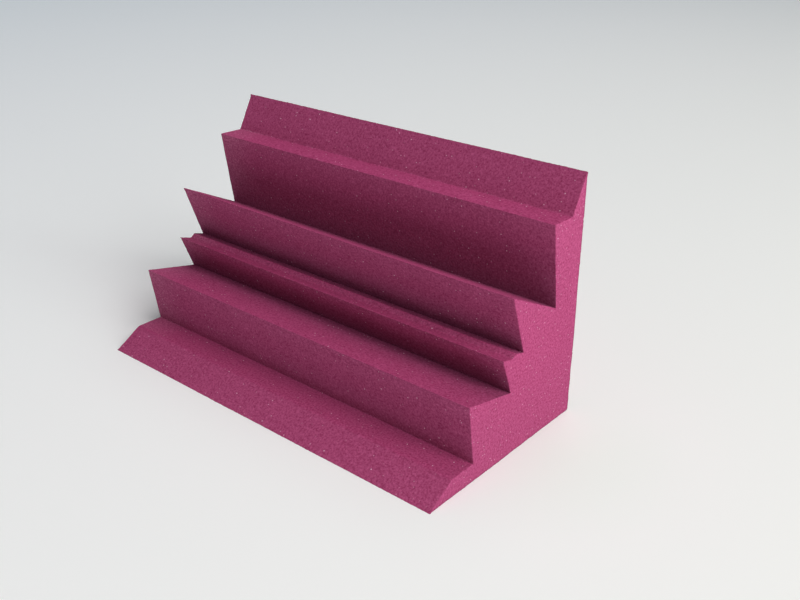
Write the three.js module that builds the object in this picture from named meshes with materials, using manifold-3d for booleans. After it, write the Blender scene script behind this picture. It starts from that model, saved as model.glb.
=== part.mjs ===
import * as THREE from "three";
import { mergeVertices } from "three/addons/utils/BufferGeometryUtils.js";
import Module from "manifold-3d";

// Corner bass trap: one block of open-cell foam with two flat faces at a right angle and a sawtooth front,
// held in its corner by square adhesive tabs. Millimetres, +Z up. X runs along the block, +Y points at the
// wall behind it, and the origin is on the base, in the middle.

// Foam block
const block = {
  length: 610,
  depth: 298.5,
  height: 337,
  heelRadius: 3, // the edge where the two flat faces meet
  heelSteps: 3,
};

// The front, from the top edge down to the toe: share of the depth, counted from the toe, and of the height
const frontShares = [
  [1, 1], // top edge
  [0.908, 0.849], // back of the crown step
  [0.777, 0.852], // crown ridge
  [0.83, 0.51], // upper groove
  [0.507, 0.651], // upper ridge, the longest
  [0.6, 0.406], // middle groove
  [0.544, 0.422], // small step
  [0.522, 0.406], // foot of the small step
  [0.455, 0.424], // middle ridge
  [0.521, 0.269], // lower groove
  [0.238, 0.324], // lower ridge
  [0.277, 0.075], // back of the toe's flat
  [0.141, 0.075], // front of the toe's flat
  [0, 0], // toe
];

// Adhesive tabs with their release liners, four on each flat face, flush with it in seats pressed into the foam
const tab = {
  side: 50,
  thickness: 1,
  linerThickness: 0.125,
  cornerRadius: 4,
  cornerSteps: 3,
  seatGap: 0.3,
};
const tabInsets = {
  end: 60, // from an end of the block
  heel: 40, // from the heel, on both faces
  toe: 62, // from the toe, on the base
  top: 62, // from the top edge, on the wall face
};

const foamMaterial = new THREE.MeshStandardMaterial({ color: 0x8c3060, roughness: 0.95, metalness: 0 });
const tabMaterial = new THREE.MeshStandardMaterial({ color: 0xe6e3da, roughness: 0.8, metalness: 0 });
const linerMaterial = new THREE.MeshStandardMaterial({ color: 0xd9c9a3, roughness: 0.6, metalness: 0 });

const wasm = await Module();
wasm.setup();

function toSolid(geometry) {
  const bare = geometry.clone();
  bare.deleteAttribute("normal");
  bare.deleteAttribute("uv");
  const merged = mergeVertices(bare);
  return new wasm.Manifold(
    new wasm.Mesh({
      numProp: 3,
      vertProperties: new Float32Array(merged.attributes.position.array),
      triVerts: new Uint32Array(merged.index.array),
    }),
  );
}

function toGeometry(solid) {
  const mesh = solid.getMesh();
  const geometry = new THREE.BufferGeometry();
  geometry.setAttribute("position", new THREE.BufferAttribute(mesh.vertProperties, 3));
  geometry.setIndex(new THREE.BufferAttribute(mesh.triVerts, 1));
  geometry.computeVertexNormals();
  return geometry;
}

// The cross-section, drawn with the depth as x and the height as y, extruded and turned to lie along X
function makeFoam() {
  const { length, depth, height, heelRadius, heelSteps } = block;
  const points = frontShares.map(([back, up]) => [(back - 0.5) * depth, up * height]);
  const section = new THREE.Shape();
  section.moveTo(...points[0]);
  points.slice(1).forEach((point) => section.lineTo(...point));
  section.lineTo(depth / 2 - heelRadius, 0);
  section.absarc(depth / 2 - heelRadius, heelRadius, heelRadius, -Math.PI / 2, 0, false);
  section.closePath();
  const geometry = new THREE.ExtrudeGeometry(section, {
    depth: length,
    bevelEnabled: false,
    curveSegments: heelSteps,
  });
  geometry.translate(0, 0, -length / 2);
  const depthToY = new THREE.Matrix4().set(0, 0, 1, 0, 1, 0, 0, 0, 0, 1, 0, 0, 0, 0, 0, 1);
  return geometry.applyMatrix4(depthToY);
}

// A flat square with round corners, from z = 0 up to the given thickness
function roundedSquare(side, cornerRadius, thickness) {
  const reach = side / 2;
  const centre = reach - cornerRadius;
  const corners = [
    [centre, -centre],
    [centre, centre],
    [-centre, centre],
    [-centre, -centre],
  ];
  const outline = new THREE.Shape();
  outline.moveTo(-centre, -reach);
  corners.forEach(([x, y], i) => {
    const from = ((i - 1) * Math.PI) / 2;
    outline.absarc(x, y, cornerRadius, from, from + Math.PI / 2, false);
  });
  outline.closePath();
  return new THREE.ExtrudeGeometry(outline, {
    depth: thickness,
    bevelEnabled: false,
    curveSegments: tab.cornerSteps,
  });
}

// Where the tabs go. A face's frame has its origin on the face and its local +Z pointing into the foam.
const columns = [-1, 1].map((end) => end * (block.length / 2 - tabInsets.end - tab.side / 2));
const baseRows = [
  -block.depth / 2 + tabInsets.toe + tab.side / 2,
  block.depth / 2 - tabInsets.heel - tab.side / 2,
];
const wallRows = [tabInsets.heel + tab.side / 2, block.height - tabInsets.top - tab.side / 2];

const intoBase = new THREE.Matrix4();
const intoWall = new THREE.Matrix4().set(1, 0, 0, 0, 0, 0, -1, 0, 0, 1, 0, 0, 0, 0, 0, 1);
const places = [];
for (const x of columns) {
  for (const y of baseRows) {
    places.push({ face: "base", turn: intoBase, at: new THREE.Vector3(x, y, 0) });
  }
}
for (const x of columns) {
  for (const z of wallRows) {
    places.push({ face: "wall", turn: intoWall, at: new THREE.Vector3(x, block.depth / 2, z) });
  }
}

function addPiece(name, geometry, material) {
  const mesh = new THREE.Mesh(geometry, material);
  mesh.name = name;
  trap.add(mesh);
}

const trap = new THREE.Group();
trap.name = "corner_bass_trap";

// Each seat is as deep as a tab and its liner, and a gap wider all round
const { side, cornerRadius, thickness, linerThickness, seatGap } = tab;
const seatDepth = thickness + linerThickness;
let foam = toSolid(makeFoam());
for (const { turn, at } of places) {
  const seat = roundedSquare(side + 2 * seatGap, cornerRadius + seatGap, seatDepth + seatGap);
  seat.translate(0, 0, -seatGap);
  seat.applyMatrix4(turn).translate(...at);
  foam = foam.subtract(toSolid(seat));
}
addPiece("foam_body", toGeometry(foam), foamMaterial);

places.forEach(({ face, turn, at }, i) => {
  const number = (i % (places.length / 2)) + 1;
  const liner = roundedSquare(side, cornerRadius, linerThickness);
  addPiece(`release_liner_${face}_${number}`, liner.applyMatrix4(turn).translate(...at), linerMaterial);
  const pad = roundedSquare(side, cornerRadius, thickness).translate(0, 0, linerThickness);
  addPiece(`adhesive_tab_${face}_${number}`, pad.applyMatrix4(turn).translate(...at), tabMaterial);
});

export default trap;
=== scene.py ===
import math

import bmesh
import bpy
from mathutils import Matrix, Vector, noise
from mathutils.geometry import delaunay_2d_cdt


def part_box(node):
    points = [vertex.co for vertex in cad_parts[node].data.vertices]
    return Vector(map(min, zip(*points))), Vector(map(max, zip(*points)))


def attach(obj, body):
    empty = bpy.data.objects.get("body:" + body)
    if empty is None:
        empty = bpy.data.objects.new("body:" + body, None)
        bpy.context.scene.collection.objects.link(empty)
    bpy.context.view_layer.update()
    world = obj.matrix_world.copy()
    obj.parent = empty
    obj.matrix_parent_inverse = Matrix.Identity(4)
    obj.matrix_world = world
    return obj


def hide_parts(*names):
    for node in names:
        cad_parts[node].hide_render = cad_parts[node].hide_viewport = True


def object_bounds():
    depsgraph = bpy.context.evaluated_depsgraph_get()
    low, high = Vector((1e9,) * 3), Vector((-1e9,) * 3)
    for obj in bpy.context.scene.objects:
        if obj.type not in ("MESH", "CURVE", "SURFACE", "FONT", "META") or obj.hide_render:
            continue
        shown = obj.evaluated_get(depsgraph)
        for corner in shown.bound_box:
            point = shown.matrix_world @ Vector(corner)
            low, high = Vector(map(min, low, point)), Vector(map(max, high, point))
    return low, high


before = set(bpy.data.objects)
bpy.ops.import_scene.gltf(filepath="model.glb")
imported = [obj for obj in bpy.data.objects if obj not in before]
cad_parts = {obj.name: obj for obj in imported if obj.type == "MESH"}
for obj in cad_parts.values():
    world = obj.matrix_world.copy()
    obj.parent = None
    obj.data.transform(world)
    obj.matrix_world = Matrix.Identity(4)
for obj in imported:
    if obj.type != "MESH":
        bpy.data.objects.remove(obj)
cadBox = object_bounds()
mm = 0.001
plain = (1, 1, 1, 1)  # a tint that changes nothing
print("stage 1: the packed frame is in")


# Shader maths: plain arithmetic on these adds Math nodes to the material
class Flow:
    def __init__(self, tree, socket):
        self.tree = tree
        self.socket = socket

    def maths(self, operation, first, second):
        return addNode(self.tree, "ShaderNodeMath", {"operation": operation}, {0: first, 1: second})

    def __add__(self, other):
        return self.maths("ADD", self, other)

    def __sub__(self, other):
        return self.maths("SUBTRACT", self, other)

    def __rsub__(self, other):
        return self.maths("SUBTRACT", other, self)

    def __mul__(self, other):
        return self.maths("MULTIPLY", self, other)

    __radd__ = __add__
    __rmul__ = __mul__


# One node: settings are its own options, inputs are values or flows by socket name or number
def addNode(tree, kind, settings, inputs, output=0):
    node = tree.nodes.new(kind)
    for name, value in settings.items():
        if name == "stops":
            setStops(node.color_ramp, value)
        else:
            setattr(node, name, value)
    for name, value in inputs.items():
        if isinstance(value, Flow):
            tree.links.new(value.socket, node.inputs[name])
        else:
            node.inputs[name].default_value = value
    return Flow(tree, node.outputs[output]) if len(node.outputs) else node


# A ramp starts with two stops, and takes its others in between
def setStops(ramp, stops):
    for place, tint in stops[1:-1]:
        ramp.elements.new(place)
    for element, (place, tint) in zip(ramp.elements, stops):
        element.position = place
        element.color = tint


def mixColours(tree, share, first, second):
    place = {"factor": 0, "first": 6, "second": 7, "result": 2}  # the Mix node's colour sockets
    inputs = {place["factor"]: share, place["first"]: first, place["second"]: second}
    return addNode(tree, "ShaderNodeMix", {"data_type": "RGBA"}, inputs, place["result"])


def multiplyColours(tree, first, second):
    return addNode(tree, "ShaderNodeVectorMath", {"operation": "MULTIPLY"}, {0: first, 1: second})


# A flow spread from 0 to 1 between two values, smoothly
def between(tree, value, low, high):
    settings = {"interpolation_type": "SMOOTHSTEP"}
    return addNode(tree, "ShaderNodeMapRange", settings, {"Value": value, "From Min": low, "From Max": high})


# Scattered points this far apart: the distance to the nearest one, or its own random colour
def scatter(tree, place, spacing, output="Distance"):
    return addNode(tree, "ShaderNodeTexVoronoi", {}, {"Vector": place, "Scale": 1 / spacing}, output)


def startMaterial(name):
    material = bpy.data.materials.new(name)
    material.use_nodes = True
    material.node_tree.nodes.clear()
    return material, material.node_tree


def endMaterial(tree, kind, inputs):
    shader = addNode(tree, kind, {}, inputs)
    addNode(tree, "ShaderNodeOutputMaterial", {}, {"Surface": shader})


# sRGB from 0 to 255, as a colour picker gives it, to the linear colour that a socket takes
def colour(red, green, blue):
    def linear(value):
        share = value / 255
        return share / 12.92 if share <= 0.04045 else ((share + 0.055) / 1.055) ** 2.4

    return (linear(red), linear(green), linear(blue), 1)


def addObject(name, mesh):
    thing = bpy.data.objects.new(name, mesh)
    bpy.context.scene.collection.objects.link(thing)
    return thing


# The finished mesh of a shape, shaded smooth
def meshFrom(shape, name):
    mesh = bpy.data.meshes.new(name)
    shape.to_mesh(mesh)
    shape.free()
    for face in mesh.polygons:
        face.use_smooth = True
    return mesh


# The camera stands where the photograph's straight edges put it
shot = {
    "place": (0.8614, -0.8522, 0.6998),
    "azimuth": 40.54,
    "elevation": 25.475,
    "focalPixels": 965.9,
    "photoWidth": 800,
    "sensor": 36,
    "farthest": 50,
}


def makeCamera():
    data = bpy.data.cameras.new("studio_camera")
    data.sensor_width = shot["sensor"]
    data.lens = shot["focalPixels"] * shot["sensor"] / shot["photoWidth"]
    data.clip_end = shot["farthest"]
    camera = addObject("studio_camera", data)
    camera.location = shot["place"]
    camera.rotation_euler = (math.radians(90 - shot["elevation"]), 0, math.radians(shot["azimuth"]))
    bpy.context.scene.camera = camera


makeCamera()
print("stage 2: the camera is placed")

# The foam block. Lengths in metres.
foamCut = {
    "tipLoss": 0.3 * mm,  # how far a cut ridge or groove falls short of its sharp corner
    "sideShare": 0.3,  # the most of a side that a rounding takes
    "arcTurn": 38,  # degrees turned by each step round a corner
    "endRound": 1.1 * mm,
    "endSteps": 3,
    "columnStep": 2.5 * mm,
    "firstStep": 0.9 * mm,
    "growth": 1.6,
    "frontStep": 8 * mm,
    "hiddenStep": 14 * mm,
    "capStep": 5 * mm,
    "capMargin": 2.5 * mm,  # between the rim and the nearest point inside it
    "nearFlat": 1 * mm,  # a point this close to a flat face's plane counts as on it
    "wander": 0.35 * mm,  # the saw's slow drift
    "wanderSize": 90 * mm,
    "ripple": 0.12 * mm,
    "rippleSize": 22 * mm,
    "rippleShift": Vector((7, 3, 5)),  # takes its noise from another place than the drift's
    "ragged": 0.45 * mm,  # torn cells along the edges
    "raggedSize": 1.9 * mm,
    "raggedShift": Vector((2, 9, 4)),
    "raggedReach": 2.2 * mm,
    "raggedRest": 0.15,  # what is left of it away from the edges
    "ridgePaintedLight": 0.7,  # painted light that makes a ridge pale, against a groove's painted shade of -1
    "ridgeReach": 25 * mm,  # how far the painted light spreads down from the ridge
    "ridgeShare": 0.3,  # and the most of a short face that it takes
    "grooveReach": 38 * mm,  # how far the painted shade spreads from the groove
    "faceReach": 28 * mm,  # the same on the face that hangs over the groove
    "deepShare": 0.27,  # and how much farther there for each metre of the groove's shorter side
    "openGroove": 90,  # degrees: a wider corner gets no painted shade
    "narrowing": 35,  # degrees from there to a groove with all its painted shade
    "endPaintedShading": (-0.3, 0.5),  # painted shade at the foot and painted light at the top of an end face
    "edgePaintedShade": -0.8,  # painted shade along its edges with the two flat faces
    "sheenFrom": 80 * mm,  # from the left end, where the painted pale sheen begins
    "sheenTo": 10 * mm,
    "sheenAboveShade": 0.6,  # how far above a groove's painted shade of -1 the painted sheen is whole
    "dentDepth": 1.3 * mm,  # under an adhesive tab
    "dentReach": 5 * mm,
}
tabBoxes = {name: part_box(name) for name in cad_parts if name.startswith("adhesive_tab")}
linerBoxes = {name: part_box(name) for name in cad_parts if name.startswith("release_liner")}


def clamp(share):
    return max(0, min(1, share))


# A share kept between 0 and 1, with a soft start and end
def eased(share):
    share = clamp(share)
    return share * share * (3 - 2 * share)


# The corners of the CAD block's right end face in order, as (y, z), with the foam on the left hand
def readEndOutline(node):
    mesh = node.data
    endPlane = max(vertex.co.x for vertex in mesh.vertices) - mm / 10
    edges = set()
    for face in mesh.polygons:
        corners = [mesh.vertices[i].co for i in face.vertices]
        if min(corner.x for corner in corners) > endPlane:
            spots = [(round(corner.y, 6), round(corner.z, 6)) for corner in corners]
            edges.update(zip(spots, spots[1:] + spots[:1]))
    rim = {spot: after for spot, after in edges if (after, spot) not in edges}
    start = min(rim)
    outline = [start]
    while rim[outline[-1]] != start:
        outline.append(rim[outline[-1]])
    return [Vector(spot) for spot in outline]


# Each corner as a short arc: a list of points for each corner
def roundCorners(outline):
    arcs = []
    for i, corner in enumerate(outline):
        back = outline[i - 1] - corner
        ahead = outline[(i + 1) % len(outline)] - corner
        half = back.angle(ahead) / 2
        radius = foamCut["tipLoss"] / (1 / math.sin(half) - 1)
        most = foamCut["sideShare"] * min(back.length, ahead.length)
        reach = min(radius / math.tan(half), most)
        steps = max(1, round(math.degrees(math.pi - 2 * half) / foamCut["arcTurn"]))
        first = corner + back.normalized() * reach
        last = corner + ahead.normalized() * reach
        arc = []
        for step in range(steps + 1):
            share = step / steps
            arc.append(first.lerp(corner, share).lerp(corner.lerp(last, share), share))
        arcs.append(arc)
    return arcs


# Places between 0 and length, close together at both ends
def gradedPlaces(length, first, most):
    places = []
    step = at = first
    while at < length / 2 - step / 2:
        places.append(at)
        step = min(step * foamCut["growth"], most)
        at += step
    return places + [length / 2] + [length - place for place in reversed(places)]


# Where the tabs' edges cross a straight stretch of a flat face, as distances along it
def tabBreaks(start, end):
    length = (end - start).length
    onBase = max(start.y, end.y) < foamCut["nearFlat"]
    onWall = min(start.x, end.x) > cadBox[1][1] - foamCut["nearFlat"]
    if not (onBase or onWall):
        return []
    side, axis, origin = ("base", 1, start.x) if onBase else ("wall", 2, start.y)
    found = set()
    for node, (low, high) in tabBoxes.items():
        if side in node:
            found |= {round(abs(edge - origin), 5) for edge in (low[axis], high[axis])}
    return sorted(place for place in found if 0 < place < length)


def onFlatFace(point):
    return point.y < foamCut["nearFlat"] or point.x > cadBox[1][1] - foamCut["nearFlat"]


# How deep a corner's groove is: 0 for a ridge or an open step, 1 for a narrow groove
def grooveDepth(outline, i):
    back = outline[i - 1] - outline[i]
    ahead = outline[(i + 1) % len(outline)] - outline[i]
    if ahead.cross(back) > 0:
        return 0
    opening = math.degrees(back.angle(ahead))
    return clamp((foamCut["openGroove"] - opening) / foamCut["narrowing"])


# Painted light and shade on a cut face: positive beside the ridge that it hangs from, negative deep in a
# groove.
# The sides are the lengths of this stretch of the outline and of the next one.
def paintedShadingAt(away, isFace, depths, sides):
    ridge = 0
    farReach = foamCut["grooveReach"]
    if isFace:
        ridgeReach = min(foamCut["ridgeReach"], foamCut["ridgeShare"] * sides[0])
        ridge = math.exp(-((away / ridgeReach) ** 2))
        farReach = foamCut["faceReach"] + foamCut["deepShare"] * min(sides)
    near = math.exp(-((away / foamCut["grooveReach"]) ** 2))
    far = math.exp(-(((sides[0] - away) / farReach) ** 2))
    return foamCut["ridgePaintedLight"] * ridge - depths[0] * near - depths[1] * far


# An end face has painted light towards the top, and painted shade at its foot and along its edges with the
# two flat faces
def endPaintedShading(point):
    if onFlatFace(point):
        return foamCut["edgePaintedShade"]
    low, high = foamCut["endPaintedShading"]
    return low + (high - low) * point.y / cadBox[1][2]


# The painted pale sheen: 1 at the left end, and 0 deep in a groove and beyond where the sheen starts
def paintedSheenAt(x, paintedShading):
    fromEnd = x - cadBox[0][0]
    share = (foamCut["sheenFrom"] - fromEnd) / (foamCut["sheenFrom"] - foamCut["sheenTo"])
    return eased(share) * clamp((1 + paintedShading) / foamCut["sheenAboveShade"])


# The whole outline as points, each with its distance to the nearest cut edge, its painted light and shade,
# and whether it takes the painted sheen at the left end
def sampleOutline(outline, arcs):
    depths = [grooveDepth(outline, i) for i in range(len(outline))]
    points = []
    for i, arc in enumerate(arcs):
        after = (i + 1) % len(arcs)
        takesSheen = not (onFlatFace(outline[i]) or onFlatFace(outline[after]))
        points += [(point, 0, -depths[i], takesSheen) for point in arc]
        start, end = arc[-1], arcs[after][0]
        isFace = depths[i] == 0 and depths[after] > 0
        length = (end - start).length
        sides = (length, (outline[(i + 2) % len(outline)] - outline[after]).length)
        breaks = tabBreaks(start, end)
        stops = [0, *breaks, length]
        most = foamCut["hiddenStep"] if breaks else foamCut["frontStep"]
        for low, high in zip(stops, stops[1:]):
            places = [low + place for place in gradedPlaces(high - low, foamCut["firstStep"], most)]
            if high < length:
                places.append(high)
            for place in places:
                paintedShading = paintedShadingAt(place, isFace, (depths[i], depths[after]), sides)
                spot = start.lerp(end, place / length)
                points.append((spot, min(place, length - place), paintedShading, takesSheen))
    return points


def outwardNormals(points):
    normals = []
    for i, point in enumerate(points):
        run = points[(i + 1) % len(points)] - points[i - 1]
        normals.append(Vector((run.y, -run.x)).normalized())
    return normals


# The cross-sections along the block, as (x, how far the section is drawn in there)
def foamColumns():
    halfLength = cadBox[1][0]
    inner = halfLength - foamCut["endRound"]
    rounding = []
    for step in range(foamCut["endSteps"] + 1):
        turn = math.pi / 2 * step / foamCut["endSteps"]
        fromEnd = foamCut["endRound"] * (1 - math.cos(turn))
        drawnIn = foamCut["endRound"] * (1 - math.sin(turn))
        rounding.append((fromEnd - halfLength, drawnIn))
    places = gradedPlaces(2 * inner, foamCut["firstStep"], foamCut["columnStep"])
    straight = [(place - inner, 0) for place in places]
    return rounding + straight + [(-x, drawnIn) for x, drawnIn in reversed(rounding)]


def makeFoamMesh():
    outline = readEndOutline(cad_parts["foam_body"])
    rows = sampleOutline(outline, roundCorners(outline))
    normals = outwardNormals([row[0] for row in rows])
    shape = bmesh.new()
    paintedShadingLayer = shape.verts.layers.float.new("foam_wear")
    paintedSheenLayer = shape.verts.layers.float.new("foam_fade")
    toEdge = {}  # each vertex's distance to the nearest cut edge
    rings = []
    for x, drawnIn in foamColumns():
        ring = []
        for (point, away, paintedShading, takesSheen), normal in zip(rows, normals):
            at = point - normal * drawnIn
            vertex = shape.verts.new((x, at.x, at.y))
            vertex[paintedShadingLayer] = paintedShading if drawnIn == 0 else endPaintedShading(point)
            vertex[paintedSheenLayer] = paintedSheenAt(x, paintedShading) if takesSheen else 0
            toEdge[vertex] = min(away, cadBox[1][0] - abs(x))
            ring.append(vertex)
        rings.append(ring)
    for ring, after in zip(rings, rings[1:]):
        for i in range(len(ring)):
            shape.faces.new((ring[i - 1], after[i - 1], after[i], ring[i]))
    for ring, facing in ((rings[0], -1), (rings[-1], 1)):
        fillCap(shape, ring, facing, outline, toEdge)
    bmesh.ops.recalc_face_normals(shape, faces=shape.faces)
    if shape.calc_volume(signed=True) < 0:  # the thin toe can make the recalculation turn them all inward
        bmesh.ops.reverse_faces(shape, faces=shape.faces)
    roughen(shape, toEdge)
    return meshFrom(shape, "acoustic_foam")


# The end face: even triangles inside the rim
def fillCap(shape, ring, facing, outline, toEdge):
    paintedShadingLayer = shape.verts.layers.float["foam_wear"]
    rim = [Vector((vertex.co.y, vertex.co.z)) for vertex in ring]
    step = foamCut["capStep"]
    low = Vector((min(p.x for p in rim), min(p.y for p in rim)))
    high = Vector((max(p.x for p in rim), max(p.y for p in rim)))
    inside = []
    for i in range(int((high.x - low.x) / step) + 1):
        for j in range(int((high.y - low.y) / step) + 1):
            spot = Vector((low.x + (i + (j % 2) / 2) * step, low.y + j * step))
            if distanceInside(spot, outline) > foamCut["capMargin"]:
                inside.append(spot)
    edges = [(i, (i + 1) % len(rim)) for i in range(len(rim))]
    onlyInside, closest = 1, 1e-7  # which triangles are wanted, and how close points may lie
    spots, _, faces, sources, _, _ = delaunay_2d_cdt(rim + inside, edges, [], onlyInside, closest)
    vertices = []
    for spot, source in zip(spots, sources):
        if source and min(source) < len(rim):
            vertices.append(ring[min(source)])
        else:
            vertex = shape.verts.new((ring[0].co.x, spot.x, spot.y))
            vertex[paintedShadingLayer] = endPaintedShading(spot)
            toEdge[vertex] = distanceInside(spot, outline)
            vertices.append(vertex)
    for face in faces:
        corners = [vertices[i] for i in face]
        shape.faces.new(corners if facing > 0 else corners[::-1])


# The distance from a spot to the outline, negative outside it
def distanceInside(spot, outline):
    nearest = math.inf
    crossings = 0
    for i, start in enumerate(outline):
        end = outline[(i + 1) % len(outline)]
        run = end - start
        share = clamp((spot - start).dot(run) / run.length_squared)
        nearest = min(nearest, (start + run * share - spot).length)
        if (start.y > spot.y) != (end.y > spot.y):
            crossings += spot.x < start.x + run.x * (spot.y - start.y) / run.y
    return nearest if crossings % 2 else -nearest


# How deep the soft foam is pressed in by the tabs at a point of a flat face
def tabDent(point):
    deepest = 0
    for node, (low, high) in tabBoxes.items():
        onBase = "base" in node
        depth = point.z if onBase else cadBox[1][1] - point.y
        if abs(depth) > foamCut["nearFlat"]:
            continue
        axes = (0, 1) if onBase else (0, 2)
        away = math.hypot(*(max(low[a] - point[a], 0, point[a] - high[a]) for a in axes))
        deepest = max(deepest, foamCut["dentDepth"] * (1 - eased(away / foamCut["dentReach"])))
    return deepest


# The saw's drift, torn cells along the edges, and the dents under the tabs
def roughen(shape, toEdge):
    shape.normal_update()
    moves = []
    for vertex in shape.verts:
        place = vertex.co
        drift = foamCut["wander"] * noise.noise(place / foamCut["wanderSize"])
        drift += foamCut["ripple"] * noise.noise(place / foamCut["rippleSize"] + foamCut["rippleShift"])
        nearEdge = math.exp(-((toEdge[vertex] / foamCut["raggedReach"]) ** 2))
        torn = noise.noise(place / foamCut["raggedSize"] + foamCut["raggedShift"])
        raggedness = foamCut["raggedRest"] + (1 - foamCut["raggedRest"]) * nearEdge
        drift += foamCut["ragged"] * torn * raggedness
        drift -= tabDent(place)
        moves.append(vertex.normal * drift)
    for vertex, move in zip(shape.verts, moves):
        vertex.co += move
        vertex.co.z = max(vertex.co.z, 0)
        vertex.co.y = min(vertex.co.y, cadBox[1][1])


foamLook = {
    "pore": colour(129, 39, 76),
    "body": colour(169, 73, 114),
    "strut": colour(199, 97, 143),
    "speck": colour(232, 190, 212),
    "paintedGrooveShade": (0.7, 0.92, 0.8, 1),  # painted shade: what is left of the colour deep in a groove
    # painted light: how much paler a ridge is
    "wornAndPaintedLight": (1.11, 1.25, 1.16, 1),
    # painted sheen: how much paler the left end of the ridges is
    "paintedSheen": (1.07, 1.4, 1.17, 1),
    "paintedTopShade": (0.97, 0.86, 0.93, 1),  # painted shade on the surfaces that face straight up
    "paintedTopShadeFrom": 0.9,  # how much of their normal points up
    "paintedTopShadeTo": 0.97,
    "cell": 1.9 * mm,
    "cellShare": 0.25,
    "grain": 2.8 * mm,
    "grainShare": 1.3,
    "patch": 45 * mm,
    "patchShare": 0.1,
    "finerSteps": 2,  # how often the grain and the patches hold finer ones, and how strong those are
    "finerShare": 0.6,
    "speckSpacing": 7.5 * mm,
    "speckRadius": 1.05 * mm,
    "roughness": 0.95,
    "relief": 0.5 * mm,
    "reliefStrength": 0.4,
}


# Open cells cut through: pores darker than their struts, a fine uneven grain, and here and there
# a cell wall that is left whole and catches the light as a pale speck
def makeFoamMaterial():
    material, tree = startMaterial("open_cell_foam")
    place = addNode(tree, "ShaderNodeTexCoord", {}, {}, "Object")

    def unevenness(size):
        finer = {"Detail": foamLook["finerSteps"], "Roughness": foamLook["finerShare"]}
        return addNode(tree, "ShaderNodeTexNoise", {}, {"Vector": place, "Scale": 1 / size, **finer}) - 0.5

    def storedOnMesh(name):
        return addNode(tree, "ShaderNodeAttribute", {"attribute_name": name}, {}, "Fac")

    cells = scatter(tree, place, foamLook["cell"]) - 0.5
    grain = unevenness(foamLook["grain"])
    height = 0.5 + foamLook["grainShare"] * grain + foamLook["cellShare"] * cells
    stops = [(0, foamLook["pore"]), (0.5, foamLook["body"]), (1, foamLook["strut"])]
    skin = addNode(tree, "ShaderNodeValToRGB", {"stops": stops}, {"Fac": height})

    # Painted light on the ridges, and painted shade in the grooves
    paintedShading = storedOnMesh("foam_wear")
    paintedShadingTone = mixColours(tree, paintedShading, plain, foamLook["wornAndPaintedLight"])
    paintedShadingTone = mixColours(tree, -1 * paintedShading, paintedShadingTone, foamLook["paintedGrooveShade"])
    # A painted pale sheen on the left end of the ridges
    paintedSheenTone = mixColours(tree, storedOnMesh("foam_fade"), plain, foamLook["paintedSheen"])
    # Painted shade on the surfaces that face straight up
    normal = addNode(tree, "ShaderNodeTexCoord", {}, {}, "Normal")
    upward = addNode(tree, "ShaderNodeSeparateXYZ", {}, {"Vector": normal}, "Z")
    paintedTopShade = between(tree, upward, foamLook["paintedTopShadeFrom"], foamLook["paintedTopShadeTo"])
    paintedTopShadeTone = mixColours(tree, paintedTopShade, plain, foamLook["paintedTopShade"])
    for tone in (paintedShadingTone, paintedTopShadeTone, paintedSheenTone):
        skin = multiplyColours(tree, skin, tone)
    patches = 1 + foamLook["patchShare"] * unevenness(foamLook["patch"])
    skin = addNode(tree, "ShaderNodeVectorMath", {"operation": "SCALE"}, {0: skin, "Scale": patches})

    toSpeck = scatter(tree, place, foamLook["speckSpacing"])
    speckTint = scatter(tree, place, foamLook["speckSpacing"], "Color")
    chance = addNode(tree, "ShaderNodeSeparateColor", {}, {"Color": speckTint})
    radius = foamLook["speckRadius"] / foamLook["speckSpacing"]
    speck = (1 - between(tree, toSpeck, radius / 2, radius)) * chance * chance
    skin = mixColours(tree, speck, skin, foamLook["speck"])

    bumpInputs = {
        "Strength": foamLook["reliefStrength"],
        "Distance": foamLook["relief"],
        "Height": height,
    }
    bump = addNode(tree, "ShaderNodeBump", {}, bumpInputs)
    inputs = {
        "Base Color": skin,
        "Roughness": foamLook["roughness"],
        "Specular IOR Level": 0,
        "Normal": bump,
    }
    endMaterial(tree, "ShaderNodeBsdfPrincipled", inputs)
    return material


foam = addObject("acoustic_foam", makeFoamMesh())
foam.data.materials.append(makeFoamMaterial())
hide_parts("foam_body")
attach(foam, "root")
print("stage 3: the foam has", len(foam.data.polygons), "faces")

# The foam-tape tabs and their paper liners, in the places of their CAD nodes
padCut = {
    "cornerRadius": 4 * mm,
    "cornerSteps": 5,
    "sideSteps": 8,
    "rings": 12,
    "tabBulge": 0.12 * mm,  # how far the tape's sides swell
    "tabSoftEdge": 0.25 * mm,
    "linerLift": 1.4 * mm,  # how far a liner's loosest corner has curled off
    "linerBuckle": 0.1 * mm,
    "buckleSize": 17 * mm,
}


# A square with round corners as shares of its half side, going round from its first corner
def roundedSquare(halfSide, radius):
    inner = 1 - radius / halfSide
    rounded = []
    for quarter in range(4):
        middle = math.pi / 4 + quarter * math.pi / 2
        corner = Vector((math.copysign(inner, math.cos(middle)), math.copysign(inner, math.sin(middle))))
        for step in range(padCut["cornerSteps"] + 1):
            turn = quarter * math.pi / 2 + step / padCut["cornerSteps"] * math.pi / 2
            rounded.append(corner + Vector((math.cos(turn), math.sin(turn))) * (1 - inner))
    outline = []
    for i, point in enumerate(rounded):
        ahead = rounded[(i + 1) % len(rounded)]
        steps = padCut["sideSteps"] if (ahead - point).length > 1 - inner else 1
        outline += [point.lerp(ahead, step / steps) for step in range(steps)]
    return outline


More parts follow.
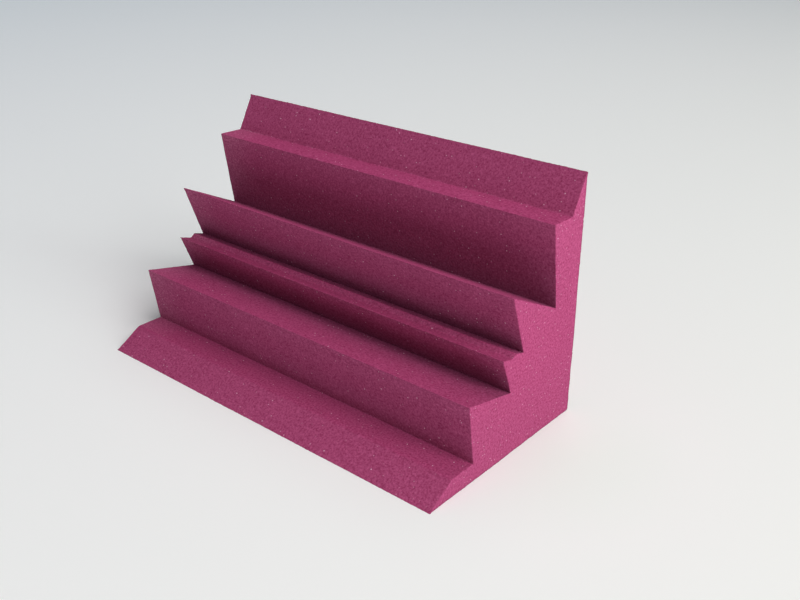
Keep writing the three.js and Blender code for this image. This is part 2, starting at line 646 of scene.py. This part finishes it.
# A thin pad in the given box. layers are (height share, swell) from the inner face to the outer one.
def makePad(name, box, layers, liftAt):
    low, high = Vector(box[0]), Vector(box[1])
    centre = (low + high) / 2
    onBase = high.z - low.z < high.y - low.y
    across = Vector((0, -1, 0)) if onBase else Vector((0, 0, 1))
    out = Vector((0, 0, -1)) if onBase else Vector((0, 1, 0))
    halfSide = (high.x - low.x) / 2
    thickness = abs(out.dot(high - low))
    outline = roundedSquare(halfSide, padCut["cornerRadius"])
    rings = padCut["rings"]
    shape = bmesh.new()

    def ringAt(share, heightShare, swell):
        ring = []
        for point in outline:
            flat = point * share * (halfSide + swell)
            at = centre + Vector((flat.x, 0, 0)) + across * flat.y
            lift = 0 if onBase else liftAt(point * share, at)
            at += out * ((heightShare - 0.5) * thickness + lift)
            ring.append(shape.verts.new(at))
        return ring

    inner, outer = layers[0], layers[-1]
    stack = [ringAt(step / rings, *inner) for step in range(1, rings)]
    stack += [ringAt(1, *layer) for layer in layers]
    stack += [ringAt(step / rings, *outer) for step in range(rings - 1, 0, -1)]
    for ring, after in zip(stack, stack[1:]):
        for i in range(len(ring)):
            shape.faces.new((ring[i - 1], ring[i], after[i], after[i - 1]))
    shape.faces.new(stack[0])
    shape.faces.new(stack[-1][::-1])
    bmesh.ops.recalc_face_normals(shape, faces=shape.faces)
    return addObject(name, meshFrom(shape, name))


tabLook = {
    "body": colour(222, 219, 209),
    "shade": colour(196, 192, 180),
    "cell": 0.5 * mm,
    "roughness": 0.8,
    "relief": 0.1 * mm,
}
linerLook = {
    "paper": colour(222, 207, 170),
    "fibre": colour(203, 184, 143),
    "fibreWidth": 0.3 * mm,
    "fibreLength": 3.5 * mm,
    "finerFibres": 4,
    "fibreShare": 1.3,
    "stain": 11 * mm,
    "stainShare": 0.5,
    "clean": 0.4,  # how much fibre and stain together still leave the paper's own colour
    "glossy": 0.42,
    "wornAndPaintedLight": 0.62,
    "relief": 0.05 * mm,
}


def makeTabMaterial():
    material, tree = startMaterial("foam_tape")
    place = addNode(tree, "ShaderNodeTexCoord", {}, {}, "Object")
    cells = scatter(tree, place, tabLook["cell"])
    skin = mixColours(tree, cells, tabLook["shade"], tabLook["body"])
    bump = addNode(tree, "ShaderNodeBump", {}, {"Distance": tabLook["relief"], "Height": cells})
    inputs = {"Base Color": skin, "Roughness": tabLook["roughness"], "Normal": bump}
    endMaterial(tree, "ShaderNodeBsdfPrincipled", inputs)
    return material


# Siliconised paper: long fibres along one way of the sheet, and a gloss that is worn in places
def makeLinerMaterial():
    material, tree = startMaterial("release_paper")
    place = addNode(tree, "ShaderNodeTexCoord", {}, {}, "Object")
    thin, long = 1 / linerLook["fibreWidth"], 1 / linerLook["fibreLength"]
    stretched = multiplyColours(tree, place, (long, thin, thin))
    fibreInputs = {"Vector": stretched, "Scale": 1, "Detail": linerLook["finerFibres"]}
    fibres = addNode(tree, "ShaderNodeTexNoise", {}, fibreInputs)
    stains = addNode(tree, "ShaderNodeTexNoise", {}, {"Vector": place, "Scale": 1 / linerLook["stain"]})
    tone = linerLook["fibreShare"] * fibres + linerLook["stainShare"] * stains - linerLook["clean"]
    skin = mixColours(tree, tone, linerLook["paper"], linerLook["fibre"])
    roughness = linerLook["glossy"] + (linerLook["wornAndPaintedLight"] - linerLook["glossy"]) * stains
    bump = addNode(tree, "ShaderNodeBump", {}, {"Distance": linerLook["relief"], "Height": fibres})
    inputs = {"Base Color": skin, "Roughness": roughness, "Normal": bump}
    endMaterial(tree, "ShaderNodeBsdfPrincipled", inputs)
    return material


# One corner of each wall liner has come loose a little, and the rest lies almost flat
def linerLift(share, at):
    upper = at.z > cadBox[1][2] / 2
    corner = Vector((math.copysign(1, at.x), 1 if upper else -1))
    curl = padCut["linerLift"] * max(0, 1 - (share - corner).length) ** 2
    buckle = padCut["linerBuckle"] * max(0, noise.noise(at / padCut["buckleSize"]))
    return curl + buckle * share.length


def noLift(share, at):
    return 0


def dressPads(boxes, layers, liftAt, material):
    for node, box in boxes.items():
        name = node.replace("adhesive", "tape").replace("release", "paper")
        piece = makePad(name, box, layers, liftAt)
        piece.data.materials.append(material)
        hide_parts(node)
        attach(piece, "root")


softEdge = (-padCut["tabSoftEdge"], 0, padCut["tabBulge"], 0, -padCut["tabSoftEdge"])
tabLayers = [(i / (len(softEdge) - 1), swell) for i, swell in enumerate(softEdge)]
linerLayers = [(0, 0), (1, 0)]
dressPads(tabBoxes, tabLayers, noLift, makeTabMaterial())
dressPads(linerBoxes, linerLayers, linerLift, makeLinerMaterial())
print("stage 4:", len(tabBoxes), "tabs and their liners are on")

floorLook = {
    "size": 24,
    "sink": 0.05 * mm,
    "near": (0.734, 0.743, 0.674, 1),
    "far": (1.437, 1.49, 1.561, 1),  # the paper brightens where the lamps fall off, so that it looks even
    "middle": (4.34, 1.17, 0),
    "reach": 8,
    "pinkBounceCancel": (0.915, 0.99, 0.945, 1),  # a painted tint beside the end face that takes out part of the pink light bounced off the foam
    "pinkBounceCancelMiddle": (0.345, 0.05, 0),
    "pinkBounceCancelReach": 0.2,
    "bounce": (0.95, 0.95, 0.95, 1),  # white walls round the set throw back more than the paper does
}


# The floor shows its paper to the camera and in gloss or glass, and throws plain white on the object
def makeFloor():
    reach = floorLook["size"] / 2
    mesh = bpy.data.meshes.new("studio_floor")
    corners = [(-reach, -reach), (reach, -reach), (reach, reach), (-reach, reach)]
    mesh.from_pydata([(x, y, -floorLook["sink"]) for x, y in corners], [], [(0, 1, 2, 3)])
    floor = addObject("studio_floor", mesh)
    material, tree = startMaterial("studio_floor")
    place = addNode(tree, "ShaderNodeTexCoord", {}, {}, "Object")

    def awayFrom(spot):
        return addNode(tree, "ShaderNodeVectorMath", {"operation": "DISTANCE"}, {0: place, 1: spot}, "Value")

    def rayIs(kind):
        return addNode(tree, "ShaderNodeLightPath", {}, {}, kind)

    share = (1 / floorLook["reach"]) * awayFrom(floorLook["middle"])
    paper = mixColours(tree, share * share, floorLook["near"], floorLook["far"])
    # A painted tint beside the end face, against the pink light bounced off the foam
    pinkBounceCancel = 1 - between(tree, awayFrom(floorLook["pinkBounceCancelMiddle"]), 0, floorLook["pinkBounceCancelReach"])
    paper = multiplyColours(tree, paper, mixColours(tree, pinkBounceCancel, plain, floorLook["pinkBounceCancel"]))
    seen = rayIs("Is Camera Ray") + rayIs("Is Glossy Ray") + rayIs("Is Transmission Ray")
    tint = mixColours(tree, seen, floorLook["bounce"], paper)
    endMaterial(tree, "ShaderNodeBsdfDiffuse", {"Color": tint})
    mesh.materials.append(material)


# Three wide soft boxes: a low cool one and a high warm one on the right, and a weak one behind
lamps = {
    "side": {"azimuth": 90, "elevation": 20, "watts": 149, "tint": (0.93, 1.0, 0.96)},
    "over": {"azimuth": 75, "elevation": 50, "watts": 192, "tint": (1.0, 0.91, 0.95)},
    "back": {"azimuth": 180, "elevation": 60, "watts": 54, "tint": (1.0, 0.91, 0.95)},
}
lampShape = {"distance": 5.5, "size": 4, "aim": Vector((0, 0, 0.12))}
sky = {"tint": (0.8, 1.0, 0.98, 1), "strength": 0.15}


# Lamps stand round the middle of the object: azimuth 0 is in front, 90 is to the right
def makeLamps():
    for name, lamp in lamps.items():
        data = bpy.data.lights.new(name + "_lamp", "AREA")
        data.shape = "DISK"
        data.size = lampShape["size"]
        data.energy = lamp["watts"]
        data.color = lamp["tint"]
        thing = addObject(name + "_lamp", data)
        around, up = math.radians(lamp["azimuth"]), math.radians(lamp["elevation"])
        way = Vector((math.sin(around) * math.cos(up), -math.cos(around) * math.cos(up), math.sin(up)))
        thing.location = lampShape["aim"] + way * lampShape["distance"]
        thing.rotation_euler = way.to_track_quat("Z", "Y").to_euler()


def makeSky():
    world = bpy.data.worlds.new("studio_sky")
    bpy.context.scene.world = world
    world.use_nodes = True
    tree = world.node_tree
    tree.nodes.clear()
    light = addNode(tree, "ShaderNodeBackground", {}, {"Color": sky["tint"], "Strength": sky["strength"]})
    addNode(tree, "ShaderNodeOutputWorld", {}, {"Surface": light})


makeFloor()
makeLamps()
makeSky()
bpy.context.scene.view_settings.view_transform = "Standard"
print("stage 5: floor, lamps and sky are in")
